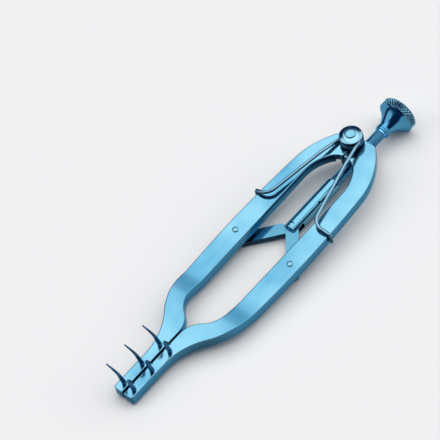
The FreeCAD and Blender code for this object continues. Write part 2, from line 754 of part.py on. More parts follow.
def make_link(side):
    """A flat toggle link, drawn along its own length from the apex eye to the arm eye."""
    sign = SIDES[side]
    body = doc.addObject("PartDesign::Body", f"{side}_link")
    half = "link_width / 2"
    plan = sketch_on(body, "XY_Plane", f"{side}_link_plan", "-link_thickness / 2")
    draw_chain(plan, [
        ("0", f"-{half}"),
        ("link_length", f"-{half}", half, "left"),
        ("link_length + link_width / 2", "0", half, "left"),
        ("link_length", half),
        ("0", half, half, "left"),
        (f"-{half}", "0", half, "left"),
    ])
    pad(body, plan, "link_thickness", f"{side}_link_bar")
    # the right link's apex eye is the upper half, the left one's the lower half
    lap = sketch_on(body, "XY_Plane", f"{side}_link_lap_plan",
                    "lap_gap / 2" if sign < 0 else "-lap_gap / 2")
    beside = "(link_width / 2 + running_clearance)"
    draw_chain(lap, [
        (f"-{beside}", f"-{beside}"),
        ("link_lap_reach", f"-{beside}"),
        ("link_lap_reach", beside),
        (f"-{beside}", beside),
    ])
    pocket(body, lap, f"{side}_link_lap", "link_thickness", upwards=sign > 0)
    eye = sketch_on(body, "XY_Plane", f"{side}_link_eye_plan")
    draw_circle(eye, "0", "0", "apex_pin_diameter + 2 * running_clearance")
    pocket(body, eye, f"{side}_link_eye")
    slot = sketch_on(body, "XY_Plane", f"{side}_link_slot_plan")
    slot_half = "(link_pin_diameter / 2 + link_side_play)"
    draw_chain(slot, [
        ("link_length - link_slot_play", f"-{slot_half}"),
        ("link_length", f"-{slot_half}", slot_half, "left"),
        (f"link_length + {slot_half}", "0", slot_half, "left"),
        ("link_length", slot_half),
        ("link_length - link_slot_play", slot_half, slot_half, "left"),
        (f"link_length - link_slot_play - {slot_half}", "0", slot_half, "left"),
    ])
    pocket(body, slot, f"{side}_link_slot")
    across = value("link_pin_half")
    along = value("link_pin_reach - apex_reach")
    heading = math.degrees(math.atan2(sign * across, -along))
    turn = Rotation(Vector(0, 0, 1), heading)
    return place(body, f"{side}_link", "-apex_reach", "0", "screw_level", turn)


for side in SIDES:
    make_arm(side)
    for number in range(1, PRONGS_PER_SIDE + 1):
        make_prong(side, number)
make_nut_block()
make_hinge_pin()
make_hinge_cap()
make_torsion_spring()
make_screw_spindle()
make_thumb_knob()
make_sleeve()
make_retaining_pin()
make_apex_pin()
for side in SIDES:
    make_link_pin(side)
    make_link(side)
doc.recompute()

for item in doc.Objects:
    if "Invalid" in item.State or "Error" in item.State:
        raise RuntimeError(f"{item.Label} failed: {item.State}")
for sub_part in sub_parts:
    if sub_part.Shape.isNull() or not sub_part.Shape.isValid():
        raise RuntimeError(f"{sub_part.Label} has no valid shape")

os.makedirs("parts", exist_ok=True)
for sub_part in sub_parts:
    sub_part.Shape.exportStep(os.path.join("parts", sub_part.Label + ".step"))
    print(sub_part.Label, len(sub_part.Shape.Solids), round(sub_part.Shape.Volume, 4))
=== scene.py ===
import json
import math

import bmesh
import bpy
from mathutils import Matrix, Vector


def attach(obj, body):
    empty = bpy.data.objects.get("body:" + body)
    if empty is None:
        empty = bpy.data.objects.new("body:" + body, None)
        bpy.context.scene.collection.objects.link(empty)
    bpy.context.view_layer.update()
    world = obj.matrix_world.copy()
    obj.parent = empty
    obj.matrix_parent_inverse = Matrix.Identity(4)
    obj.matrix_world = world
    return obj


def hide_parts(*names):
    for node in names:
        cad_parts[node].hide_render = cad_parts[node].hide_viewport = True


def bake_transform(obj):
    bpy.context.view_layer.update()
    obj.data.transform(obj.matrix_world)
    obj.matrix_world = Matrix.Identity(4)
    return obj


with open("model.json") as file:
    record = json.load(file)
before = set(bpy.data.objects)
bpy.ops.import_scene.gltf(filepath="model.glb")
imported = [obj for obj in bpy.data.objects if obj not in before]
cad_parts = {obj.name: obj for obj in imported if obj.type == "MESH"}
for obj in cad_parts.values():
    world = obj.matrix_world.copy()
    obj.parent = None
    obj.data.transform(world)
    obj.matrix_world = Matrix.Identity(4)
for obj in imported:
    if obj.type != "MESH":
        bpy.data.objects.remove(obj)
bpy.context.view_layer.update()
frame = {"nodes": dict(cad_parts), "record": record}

# The pieces are drawn in millimetres from the hinge, as in the part's source: X towards the knob,
# Y to the left, Z up from the arms' underside. HINGE is that point in the shared frame.
MM = 0.001
HINGE = Vector((23.25, 0.0, 4.4))
LEFT, RIGHT = 1, -1

TIP_REACH = 57.5
KNOB_REACH = 11.0
HINGE_OFFSET = 1.1
SCREW_DROP = 1.15
THICKNESS = 2.0
CRANK_LIFT = 0.8
CRANK_FRONT = 38.7
CRANK_BACK = 34.4
EAR_RECESS = 0.7
LAP_RADIUS = 1.75
APEX_REACH = 17.2
PIN_REACH = 24.1
PIN_HALF = 5.75
PRONG_REACH = (55.95, 51.75, 47.55)
PRONG_HALF = 1.04
CAP_BASE = 3.658
CAP_TOP = 4.358
CAP_RIM = 1.95
HINGE_SHANK = 0.75
LINK_PIN_SHANK = 0.45
SCREW_RADIUS = 1.0
THREAD_PITCH = 0.4
THREAD_DEPTH = 0.2
NECK_RADIUS = 0.65
SHOULDER = 5.8
SOCKET_END = 9.5
KNOB_RIM = 3.25
KNOB_WIDTH = 1.5
KNURL_TURNS = 36
KNURL_PITCH = 0.57
KNURL_DEPTH = 0.17


def at(x, y, z):
    return (HINGE + Vector((x, y, z))) * MM


# Materials

ALONG = (0.06, 1, 1)
EVEN = (1, 1, 1)


def shader(name, colour, roughness, metallic=1.0, coat=0.0):
    material = bpy.data.materials.new(name)
    material.use_nodes = True
    tree = material.node_tree
    surface = tree.nodes["Principled BSDF"]
    surface.inputs["Base Color"].default_value = (*colour, 1)
    surface.inputs["Roughness"].default_value = roughness
    surface.inputs["Metallic"].default_value = metallic
    surface.inputs["Coat Weight"].default_value = coat
    surface.inputs["Coat Roughness"].default_value = 0.2
    if metallic:
        surface.inputs["Specular Tint"].default_value = (0.35, 0.65, 0.85, 1)
    return material, tree, surface


def node(tree, kind, **settings):
    """A new node. Each setting goes to the input of that name, or else to the property."""
    made = tree.nodes.new(kind)
    for key, value in settings.items():
        if key in made.inputs:
            made.inputs[key].default_value = value
        else:
            setattr(made, key, value)
    return made


def noise(tree, coordinates, scale, detail=3.0, stretch=None):
    """Noise of about 1000 / scale millimetres a feature, stretched along one direction."""
    texture = node(tree, "ShaderNodeTexNoise", Scale=scale, Detail=detail)
    if stretch is None:
        tree.links.new(coordinates, texture.inputs["Vector"])
    else:
        mapping = node(tree, "ShaderNodeMapping", Scale=stretch)
        tree.links.new(coordinates, mapping.inputs["Vector"])
        tree.links.new(mapping.outputs["Vector"], texture.inputs["Vector"])
    return texture.outputs["Fac"]


def spread(tree, factor, low, high, start=0.3, end=0.7):
    """The factor from start to end, spread over low to high."""
    made = node(tree, "ShaderNodeMapRange")
    for key, value in (("From Min", start), ("From Max", end), ("To Min", low), ("To Max", high)):
        made.inputs[key].default_value = value
    tree.links.new(factor, made.inputs["Value"])
    return made.outputs["Result"]


def blend_colours(tree, factor, first, second):
    """From the first colour to the second. Either is a tuple or a socket."""
    made = node(tree, "ShaderNodeMix", data_type="RGBA")
    tree.links.new(factor, made.inputs["Factor"])
    for socket, colour in ((made.inputs[6], first), (made.inputs[7], second)):
        if isinstance(colour, tuple):
            socket.default_value = (*colour, 1)
        else:
            tree.links.new(colour, socket)
    return made.outputs[2]


def anodised(name, colour, patch, roughness, grain=ALONG, bump=0.1, wall_shade=None):
    """Satin anodised metal: patches of a slightly different film, a fine brushed grain, a
    roughness that wanders with the grain, and where a side colour is given, painted shade on
    the sides: that colour there, and a darker share of it on sides that face the tips."""
    material, tree, surface = shader(name, colour, roughness, coat=0.3)
    place = node(tree, "ShaderNodeTexCoord").outputs["Object"]
    patches = noise(tree, place, 110, detail=2.0)
    film = spread(tree, patches, 0.0, 1.0, 0.34, 0.62)
    tint = blend_colours(tree, film, colour, patch)
    streaks = noise(tree, place, 2600, detail=4.0, stretch=grain)
    fine = spread(tree, streaks, 0.0, 0.16)
    paler = tuple(min(1.0, channel * 1.35 + 0.005) for channel in patch)
    tint = blend_colours(tree, fine, tint, paler)
    # Painted shade: the sides take the given side colour in place of the film's, and a darker share of
    # it where they face the tips.
    if wall_shade:
        facing = node(tree, "ShaderNodeSeparateXYZ")
        normal = node(tree, "ShaderNodeTexCoord").outputs["Normal"]
        tree.links.new(normal, facing.inputs["Vector"])
        height = node(tree, "ShaderNodeMath", operation="ABSOLUTE")
        tree.links.new(facing.outputs["Z"], height.inputs[0])
        side = spread(tree, height.outputs[0], 1.0, 0.0, 0.1, 0.7)
        front = spread(tree, facing.outputs["X"], 1.0, 0.0, -0.7, -0.1)
        front_shade = tuple(channel * 0.4 for channel in wall_shade)
        tint = blend_colours(tree, side, tint, blend_colours(tree, front, wall_shade, front_shade))
    tree.links.new(tint, surface.inputs["Base Color"])
    tree.links.new(spread(tree, streaks, roughness - 0.05, roughness + 0.07),
                   surface.inputs["Roughness"])
    relief = node(tree, "ShaderNodeBump", Strength=bump, Distance=0.00002)
    tree.links.new(streaks, relief.inputs["Height"])
    tree.links.new(relief.outputs["Normal"], surface.inputs["Normal"])
    return material


# The arms' side colour is painted shade on their walls.
ARM = anodised("arm anodised", (0.06, 0.235, 0.365), (0.145, 0.35, 0.465), 0.13,
               wall_shade=(0.05, 0.21, 0.35))
# The links' near-black side colour is painted shade on their edges.
LINK = anodised("link anodised", (0.055, 0.2, 0.3), (0.07, 0.235, 0.34), 0.14,
                wall_shade=(0.008, 0.05, 0.12))
# The prongs' far darker blue than the arms' is painted shade on their upright round stems.
PRONG = anodised("prong anodised", (0.015, 0.075, 0.16), (0.03, 0.11, 0.2), 0.22)
RIVET = anodised("rivet anodised", (0.12, 0.3, 0.41), (0.145, 0.335, 0.45), 0.12, EVEN, 0.05)
# The cap's near-black side colour is painted shade on the side of its rim.
CAP = anodised("cap anodised", (0.19, 0.39, 0.49), (0.22, 0.43, 0.53), 0.1, EVEN, 0.05,
               wall_shade=(0.006, 0.04, 0.11))
# The wire's darker side colour is painted shade along the flanks of the legs.
WIRE = anodised("wire anodised", (0.13, 0.27, 0.37), (0.16, 0.31, 0.41), 0.14, EVEN, 0.05,
                wall_shade=(0.05, 0.13, 0.2))
# Painted shade: the coil is a much darker copy of the wire, for the shade under the cap.
COIL = anodised("coil painted shade", (0.012, 0.06, 0.12), (0.02, 0.08, 0.15), 0.16, EVEN, 0.05)
# The screw's near-black blue is painted shade in its thread's roots.
SCREW = anodised("screw anodised", (0.001, 0.02, 0.09), (0.002, 0.03, 0.11), 0.15, EVEN, 0.05)
KNOB = anodised("knob anodised", (0.045, 0.22, 0.38), (0.06, 0.26, 0.43), 0.12, EVEN, 0.05)
SLEEVE = anodised("sleeve anodised", (0.1, 0.3, 0.42), (0.12, 0.34, 0.46), 0.12)


def paint_light_and_shade_by_radius(material, colour, start, end, band=None):
    """A colour painted in as light and shade, that sets in from one distance from the screw's axis
    to another, and where band is given, only between those two places along the axis."""
    tree = material.node_tree
    base = tree.nodes["Principled BSDF"].inputs["Base Color"]
    place = node(tree, "ShaderNodeTexCoord").outputs["Object"]
    spoke = node(tree, "ShaderNodeVectorMath", operation="MULTIPLY_ADD")
    tree.links.new(place, spoke.inputs[0])
    spoke.inputs[1].default_value = (0, 1, 1)
    spoke.inputs[2].default_value = (0, 0, -(HINGE.z - SCREW_DROP) * MM)
    length = node(tree, "ShaderNodeVectorMath", operation="LENGTH")
    tree.links.new(spoke.outputs["Vector"], length.inputs[0])
    share = spread(tree, length.outputs["Value"], 0.0, 1.0, start * MM, end * MM)
    if band:
        split = node(tree, "ShaderNodeSeparateXYZ")
        tree.links.new(place, split.inputs["Vector"])
        first, last = ((HINGE.x + x) * MM for x in band)
        for outside, inside in ((first, first + 0.05 * MM), (last, last - 0.05 * MM)):
            gate = spread(tree, split.outputs["X"], 0.0, 1.0, outside, inside)
            both = node(tree, "ShaderNodeMath", operation="MULTIPLY")
            tree.links.new(share, both.inputs[0])
            tree.links.new(gate, both.inputs[1])
            share = both.outputs[0]
    tree.links.new(blend_colours(tree, share, base.links[0].from_socket, colour), base)


def paint_shade_across(material, colour, first, last, soft):
    """A colour painted in as shade between two places along the part, that fades out at both."""
    tree = material.node_tree
    base = tree.nodes["Principled BSDF"].inputs["Base Color"]
    split = node(tree, "ShaderNodeSeparateXYZ")
    tree.links.new(node(tree, "ShaderNodeTexCoord").outputs["Object"], split.inputs["Vector"])
    offset = node(tree, "ShaderNodeMath", operation="SUBTRACT")
    tree.links.new(split.outputs["X"], offset.inputs[0])
    offset.inputs[1].default_value = (HINGE.x + (first + last) / 2) * MM
    distance = node(tree, "ShaderNodeMath", operation="ABSOLUTE")
    tree.links.new(offset.outputs[0], distance.inputs[0])
    half = abs(last - first) / 2
    share = spread(tree, distance.outputs[0], 0.0, 1.0, (half + soft) * MM, (half - soft) * MM)
    tree.links.new(blend_colours(tree, share, base.links[0].from_socket, colour), base)


RIM_FRONT = KNOB_REACH - KNOB_WIDTH
# Painted shade: the arms are darker over the crank's ramp, where its tilt turns the top from the
# light.
paint_shade_across(ARM, (0.045, 0.205, 0.34), -CRANK_FRONT + 0.1, -CRANK_BACK + 0.2, 1.9)
# Painted highlight: the screw is lighter where it stands at full radius, on the thread's crests and
# the plain shank.
paint_light_and_shade_by_radius(SCREW, (0.2, 0.62, 0.92), SCREW_RADIUS - 0.12, SCREW_RADIUS - 0.05)
# Painted shade in the knurl's grooves, across the rim's band.
paint_light_and_shade_by_radius(KNOB, (0.001, 0.02, 0.06), KNOB_RIM - 0.09, KNOB_RIM - 0.13,
               (RIM_FRONT, KNOB_REACH - 0.28))
# Painted highlight on the knurl's crests.
paint_light_and_shade_by_radius(KNOB, (0.35, 0.7, 0.8), KNOB_RIM - 0.1, KNOB_RIM - 0.06,
               (RIM_FRONT, KNOB_REACH - 0.15))

MATERIALS = {"arm_blue": ARM, "link_blue": LINK, "prong_blue": PRONG, "rivet_blue": RIVET,
             "cap_blue": CAP, "wire_blue": WIRE, "screw_blue": SCREW, "knob_blue": KNOB,
             "sleeve_blue": SLEEVE}
for part in frame["record"]["subparts"]:
    mesh = frame["nodes"][part["node"]].data
    mesh.materials.clear()
    mesh.materials.append(MATERIALS[part["material_slot"]])


# Mesh building

def piece(name, mesh, body, slot, replaced, sharp=35):
    """Link a finished mesh, give it its slot's material and let it ride on its body."""
    shape = bmesh.new()
    shape.from_mesh(mesh)
    bmesh.ops.recalc_face_normals(shape, faces=shape.faces)
    shape.to_mesh(mesh)
    shape.free()
    mesh.materials.clear()
    mesh.materials.append(MATERIALS[slot])
    for polygon in mesh.polygons:
        polygon.use_smooth = True
    mesh.set_sharp_from_angle(angle=math.radians(sharp))
    made = bpy.data.objects.new(name, mesh)
    bpy.context.scene.collection.objects.link(made)
    if body is not None:
        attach(made, body)
    if replaced:
        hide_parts(*replaced)
    return made


def mesh_of(name, points, faces):
    mesh = bpy.data.meshes.new(name)
    mesh.from_pydata(points, [], faces)
    mesh.update()
    return mesh


def bent(start, end, radius, side, step=0.22):
    """Points on the arc from start to end, both ends included."""
    start, end = Vector(start), Vector(end)
    chord = end - start
    across = Vector((-chord.y, chord.x)).normalized()
    height = math.sqrt(max(radius ** 2 - chord.length ** 2 / 4, 0))
    centre = (start + end) / 2 + across * (height if side == "left" else -height)
    first = math.atan2(start.y - centre.y, start.x - centre.x)
    last = math.atan2(end.y - centre.y, end.x - centre.x)
    turn = (last - first) % (2 * math.pi)
    if side == "right":
        turn -= 2 * math.pi
    count = max(3, math.ceil(abs(turn) * radius / step), math.ceil(abs(turn) / math.radians(8)))
    return [centre + radius * Vector((math.cos(first + turn * i / count),
                                      math.sin(first + turn * i / count)))
            for i in range(count + 1)]


def chain(steps):
    """A closed outline as in the part's source: (x, y), or (x, y, radius, side) before an arc."""
    loop = []
    for step, following in zip(steps, steps[1:] + steps[:1]):
        if len(step) == 2:
            loop.append(Vector(step))
        else:
            loop += bent(step[:2], following[:2], step[2], step[3])[:-1]
    area = sum(a.x * b.y - b.x * a.y for a, b in zip(loop, loop[1:] + loop[:1]))
    return loop if area > 0 else loop[::-1]


def plate(name, loop, low, high, edge, lift=None, slices=()):
    """A flat bar of that outline with rounded edges, sliced across where it is then bent."""
    inwards = []
    for before, point, after in zip(loop[-1:] + loop[:-1], loop, loop[1:] + loop[:1]):
        first, second = (point - before).normalized(), (after - point).normalized()
        first, second = Vector((-first.y, first.x)), Vector((-second.y, second.x))
        inwards.append((first + second) / max(1 + first.dot(second), 0.3))
    quarter = [math.radians(angle) for angle in (0, 30, 60, 90)]
    rings = [(edge + 0.05, low)]
    rings += [(edge * (1 - math.sin(a)), low + edge * (1 - math.cos(a))) for a in quarter]
    rings += [(edge * (1 - math.sin(a)), high - edge * (1 - math.cos(a))) for a in quarter[::-1]]
    rings += [(edge + 0.05, high)]
    shape = bmesh.new()
    rows = [[shape.verts.new((*(point + inward * offset), z))
             for point, inward in zip(loop, inwards)] for offset, z in rings]
    for lower, upper in zip(rows, rows[1:]):
        for i in range(len(loop)):
            j = (i + 1) % len(loop)
            shape.faces.new((lower[i], lower[j], upper[j], upper[i]))
    shape.faces.new(rows[0][::-1])
    shape.faces.new(rows[-1])
    for x in slices:
        bmesh.ops.bisect_plane(shape, geom=shape.verts[:] + shape.edges[:] + shape.faces[:],
                               plane_co=(x, 0, 0), plane_no=(1, 0, 0), dist=1e-5)
    if lift is not None:
        for vertex in shape.verts:
            vertex.co.z += lift(vertex.co.x)
    many = [face for face in shape.faces if len(face.verts) > 4]
    bmesh.ops.triangulate(shape, faces=many)
    for vertex in shape.verts:
        vertex.co = at(*vertex.co)
    mesh = bpy.data.meshes.new(name)
    shape.to_mesh(mesh)
    shape.free()
    return mesh


def disc(name, x, y, radius, low, high):
    """A plain closed cylinder, used to cut a plate or to be joined to one."""
    shape = bmesh.new()
    bmesh.ops.create_cone(shape, cap_ends=True, segments=96, radius1=radius * MM,
                          radius2=radius * MM, depth=(high - low) * MM,
                          matrix=Matrix.Translation(at(x, y, (low + high) / 2)))
    mesh = bpy.data.meshes.new(name)
    shape.to_mesh(mesh)
    shape.free()
    return mesh


def combine(mesh, other, operation):
    """The mesh with the other one cut out of it or joined to it."""
    base = bpy.data.objects.new("base", mesh)
    tool = bpy.data.objects.new("tool", other)
    for item in (base, tool):
        bpy.context.scene.collection.objects.link(item)
    modifier = base.modifiers.new("combine", "BOOLEAN")
    modifier.operation = operation
    modifier.solver = "EXACT"
    modifier.object = tool
    bpy.context.view_layer.update()
    graph = bpy.context.evaluated_depsgraph_get()
    result = bpy.data.meshes.new_from_object(base.evaluated_get(graph))
    for item in (base, tool):
        bpy.data.objects.remove(item)
    return result


def lathe(name, profile, columns, place, relief=None):
    """Turn a half profile of (along, radius) points. place(along, radius, angle) gives a
    point's place and relief(along, radius, angle) its radius."""
    points, rows, faces = [], [], []
    for along, radius in profile:
        if radius < 1e-6:
            rows.append([len(points)] * columns)
            points.append(place(along, 0, 0))
            continue
        rows.append(list(range(len(points), len(points) + columns)))
        for i in range(columns):
            angle = 2 * math.pi * i / columns
            out = relief(along, radius, angle) if relief else radius
            points.append(place(along, out, angle))
    for lower, upper in zip(rows, rows[1:]):
        for i in range(columns):
            j = (i + 1) % columns
            corners = []
            for index in (lower[i], lower[j], upper[j], upper[i]):
                if index not in corners:
                    corners.append(index)
            faces.append(corners)
    return mesh_of(name, points, faces)


def upright(x, y):
    """Places a turned piece on an upright axis; its profile then goes downwards."""
    return lambda along, radius, angle: at(x + radius * math.cos(angle),
                                           y + radius * math.sin(angle), along)


def on_screw(along, radius, angle):
    """Places a turned piece on the screw's axis; its profile then goes towards the tips."""
    return at(along, radius * math.cos(angle), -SCREW_DROP + radius * math.sin(angle))


def softened(corners, radius, count=4):
    """The profile with each inner corner rounded, as far as its two runs allow."""
    corners = [Vector(corner) for corner in corners]
    path = [corners[0]]
    for before, corner, after in zip(corners, corners[1:], corners[2:]):
        back, on = before - corner, after - corner
        reach = min(radius, back.length * 0.45, on.length * 0.45)
        first, last = corner + back.normalized() * reach, corner + on.normalized() * reach
        for i in range(count + 1):
            t = i / count
            path.append((1 - t) ** 2 * first + 2 * t * (1 - t) * corner + t ** 2 * last)
    return path + [corners[-1]]


def tube(name, points, radius, sides=18, round_ends=True):
    """A round wire along the points, closed flat at its start and, when round_ends is set, rounded
    over at its end.
    """
    points = [Vector(point) for point in points]
    tangents = [(b - a).normalized() for a, b in zip(points[:1] + points[:-1],
                                                     points[1:] + points[-1:])]
    tangents[0] = (points[1] - points[0]).normalized()
    tangents[-1] = (points[-1] - points[-2]).normalized()
    side = tangents[0].orthogonal().normalized()
    rings = []
    for point, tangent, previous in zip(points, tangents, tangents[:1] + tangents[:-1]):
        side = previous.rotation_difference(tangent) @ side
        side = (side - tangent * side.dot(tangent)).normalized()
        rings.append((point, tangent, side.copy(), radius))
    if round_ends:
        point, tangent, side, _ = rings[-1]
        rings = rings[:-1] + [
            (point - tangent * radius * (1 - math.sin(a)) * 0.8, tangent, side, radius * math.cos(a))
            for a in (0, 0.4, 0.8, 1.2, 1.5)]
    verts, faces = [], []
    for point, tangent, side, size in rings:
        other = tangent.cross(side)
        for i in range(sides):
            angle = 2 * math.pi * i / sides
            verts.append(at(*(point + size * (side * math.cos(angle) + other * math.sin(angle)))))
    for ring in range(len(rings) - 1):
        for i in range(sides):
            j = (i + 1) % sides
            faces.append((ring * sides + i, ring * sides + j,
                          (ring + 1) * sides + j, (ring + 1) * sides + i))
    faces.append(list(range(sides))[::-1])
    faces.append(list(range((len(rings) - 1) * sides, len(rings) * sides)))
    return mesh_of(name, verts, faces)


# Arms: bars cranked up at the tips, half-lapped round the hinge pin

def s_radius(run, rise):
    """The radius of two equal arcs that make an S over that run and rise."""
    return (run ** 2 + rise ** 2) / (4 * rise)


def arm_outline(sign):
    """The bar seen from above, from the slit's end round the window's edge to the outer side."""
    window, outer = ("left", "right") if sign > 0 else ("right", "left")
    slit, bar, front, back = 0.13, 1.95, 3.75, 4.0
    inner_tip, inner_heel, bow_tip, bow_heel, widest = 44.3, 37.2, 50.1, 35.4, 7.15
    inner = s_radius(inner_tip - inner_heel, front - slit)
    bow = s_radius(bow_tip - bow_heel, widest - bar)
    split = 0.65 if sign > 0 else -0.45
    nose, setback = 3.0, 3.0  # the arch's small radius, and where it passes into the long curve
    side = (setback ** 2 + back ** 2 - nose ** 2) / (2 * (back - nose))
    share = nose / (side - nose)
    centre = 2.95 + nose
    arch = math.sqrt(nose ** 2 - split ** 2) - centre
    steps = [(-TIP_REACH + 0.12, slit), (-inner_tip, slit, inner, window),
             (-(inner_tip + inner_heel) / 2, (slit + front) / 2, inner, outer),
             (-inner_heel, front),
             (-8.95, back, side, outer),
             (setback * share - centre, (side - back) * share, nose, outer), (arch, split)]
    if sign > 0:
        steps += [(0, split), (0, HINGE_OFFSET), (1.5, 1.7, 1.8, window),
                  (0.3, 4.1, 15, window)]
    else:
        steps += [(0, split), (1.55, 0.45), (1.55, 2.6, 15, window)]
    corner = 0.45
    steps += [(-7.45, 7.0, 215, window), (-bow_heel, widest, bow, window),
              (-(bow_tip + bow_heel) / 2, (bar + widest) / 2, bow, outer), (-bow_tip, bar),
              (-TIP_REACH + corner, bar, corner, window), (-TIP_REACH, bar - corner),
              (-TIP_REACH, slit + 0.12)]
    return chain([(step[0], sign * step[1], *step[2:]) for step in steps])


def crank(x):
    """How far the bar is bent up at x: level, an even ramp with eased bends, level again."""
    ease = 0.9
    share = (-x - CRANK_BACK) / (CRANK_FRONT - CRANK_BACK)
    soft = ease / (CRANK_FRONT - CRANK_BACK)

    def ramp(value):
        return 0.0 if value <= -soft else value if value >= soft else (value + soft) ** 2 / (4 * soft)
    return CRANK_LIFT * (ramp(share) - ramp(share - 1))


def make_arm(side, sign):
    slices = [-CRANK_FRONT - 1.2 + 0.3 * i for i in range(24)]
    mesh = plate(f"{side}_arm_bar", arm_outline(sign), 0, THICKNESS, 0.17, crank, slices)
    mesh = combine(mesh, disc("recess", 0, HINGE_OFFSET, 3.6, -1, EAR_RECESS), "DIFFERENCE")
    lap = (EAR_RECESS + THICKNESS) / 2 - sign * 0.02
    cut = LAP_RADIUS + 0.05
    if sign > 0:
        mesh = combine(mesh, disc("lap", 0, HINGE_OFFSET, cut, lap, 3), "DIFFERENCE")
        mesh = combine(mesh, disc("ear", 0, HINGE_OFFSET, LAP_RADIUS, EAR_RECESS, lap), "UNION")
    else:
        mesh = combine(mesh, disc("lap", 0, HINGE_OFFSET, cut, -1, lap), "DIFFERENCE")
        mesh = combine(mesh, disc("ear", 0, HINGE_OFFSET, LAP_RADIUS, lap, THICKNESS), "UNION")
    mesh = combine(mesh, disc("hole", 0, HINGE_OFFSET, HINGE_SHANK + 0.05, -1, 3), "DIFFERENCE")
    return piece(f"{side}_arm_bar", mesh, f"{side}_arm", "arm_blue", [f"{side}_arm"])


make_arm("left", LEFT)
make_arm("right", RIGHT)


# Spring: a coil on the pin and two hooked legs

WIRE_RADIUS = 0.3
COIL_RADIUS = 1.75
COIL_PITCH = 0.62
LEG_REST = THICKNESS + 0.03 + WIRE_RADIUS
LEG_RISE = 0.6 * COIL_PITCH / (2 * math.pi * COIL_RADIUS)


def rounded(points, radii, step=0.35):
    """Points along the route with an arc at each corner, close enough together to bend."""
    points = [Vector(point) for point in points]
    path, start = [points[0]], points[0]
    for before, corner, after, radius in zip(points, points[1:], points[2:], radii):
        back, on = (before - corner).normalized(), (after - corner).normalized()
        half = back.angle(on) / 2
        first = corner + back * (radius / math.tan(half))
        centre = corner + (back + on).normalized() * (radius / math.sin(half))
        turn = math.pi - 2 * half
        count = max(1, round((first - start).length / step))
        path += [start.lerp(first, i / count) for i in range(1, count + 1)]
        spoke = first - centre
        axis = spoke.cross(back).normalized()
        bends = max(3, math.ceil(turn / math.radians(9)))
        path += [centre + Matrix.Rotation(-turn * i / bends, 3, axis) @ spoke
                 for i in range(1, bends + 1)]
        start = path[-1]
    count = max(1, round((points[-1] - start).length / step))
    return path + [start.lerp(points[-1], i / count) for i in range(1, count + 1)]


def make_spring():
    base = LEG_REST + LEG_RISE
    turns = 1.5
    count = 90
    helix = []
    for i in range(count + 1):
        angle = math.radians(90) - 2 * math.pi * turns * i / count
        helix.append((COIL_RADIUS * math.cos(angle), HINGE_OFFSET + COIL_RADIUS * math.sin(angle),
                      base + COIL_PITCH * turns * i / count))
    coil = piece("spring_coil", tube("spring_coil", helix, WIRE_RADIUS, 20, round_ends=False),
                 "hinge_assembly", "wire_blue", ["torsion_spring"], 60)
    # The coil takes the darker copy of the wire's material, as painted shade under the cap.
    coil.data.materials[0] = COIL
    hook_out, reach, stand_off = 7.81, 16.4, 0.6
    for side, sign, level, half, rise in (
            ("left", LEFT, base, 5.4, 0.7), ("right", RIGHT, base + COIL_PITCH * turns, 4.4, 1.2)):
        beside = HINGE_OFFSET + sign * COIL_RADIUS
        slope = (sign * half - beside) / (reach - 0.6)
        route = [(0, beside, level), (-0.6, beside, level - sign * LEG_RISE),
                 (-4.6, beside + slope * 4, LEG_REST + rise),
                 (-12.6, beside + slope * 12, LEG_REST + 0.3 + rise / 2),
                 (-reach, sign * half, LEG_REST + stand_off), (-reach, sign * hook_out, LEG_REST),
                 (-reach, sign * hook_out, LEG_REST - 2.0)]
        leg = piece(f"spring_{side}_leg", tube(f"spring_{side}_leg",
                                               rounded(route, (2.0, 9.0, 9.0, 2.0, 0.5)), WIRE_RADIUS),
                    None, "wire_blue", [], 60)
        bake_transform(leg)


# Turned pieces

def make_cap():
    rim, edge, hole = CAP_RIM, CAP_BASE + 0.3, 0.8
    dome = [(CAP_TOP - (CAP_TOP - edge) * ((r - 1.0) / (rim - 1.0)) ** 1.35, r)
            for r in (1.0, 1.15, 1.3, 1.45, 1.6, 1.75, 1.87)]
    profile = softened([(CAP_TOP, hole)] + dome + [(edge - 0.02, rim), (CAP_BASE, rim - 0.12),
                                                   (CAP_BASE, hole)], 0.05)
    profile += [profile[0]]
    piece("hinge_cap_turned", lathe("hinge_cap_turned", profile, 96, upright(0, HINGE_OFFSET)),
          "hinge_assembly", "cap_blue", ["hinge_cap"])


def domed(base, height, radius, count=6):
    """A low domed rivet head with a short upright side, from its top downwards."""
    side = height * 0.4
    return [(base + side + (height - side) * math.cos(i / count * math.pi / 2),
             radius * math.sin(i / count * math.pi / 2)) for i in range(count + 1)] + [(base, radius)]


def make_hinge_pin():
    top = CAP_TOP + 0.02
    nut_top = EAR_RECESS - 0.05
    rim, side, crown = 1.0, 0.12, 0.35
    dome = [(top + side + (crown - side) * math.cos(i / 8 * math.pi / 2),
             rim * math.sin(i / 8 * math.pi / 2)) for i in range(9)]
    head = dome + [(top, rim), (top, HINGE_SHANK)]
    profile = head + [(nut_top, HINGE_SHANK), (nut_top, 0.5), (nut_top - 0.85, 0.5),
                      (nut_top - 0.85, 0)]
    piece("hinge_pin_turned", lathe("hinge_pin_turned", profile, 72, upright(0, HINGE_OFFSET)),
          "hinge_assembly", "rivet_blue", ["hinge_pin"])


def make_link_pin(side, sign):
    shank, collar, tail = LINK_PIN_SHANK, 0.75, 0.65
    link_top, link_base = -SCREW_DROP + 0.5, -SCREW_DROP - 0.5
    profile = domed(THICKNESS + 0.02, 0.22, 0.5) + [
        (THICKNESS + 0.02, shank), (-0.02, shank), (-0.02, collar), (link_top + 0.05, collar),
        (link_top + 0.05, shank), (link_base - 0.05, shank), (link_base - 0.05, tail),
        (link_base - 0.22, tail), (link_base - 0.3, tail - 0.1), (link_base - 0.3, 0)]
    piece(f"{side}_link_pin_turned",
          lathe(f"{side}_link_pin_turned", profile, 48, upright(-PIN_REACH, sign * PIN_HALF)),
          f"{side}_arm", "rivet_blue", [f"{side}_link_pin"])


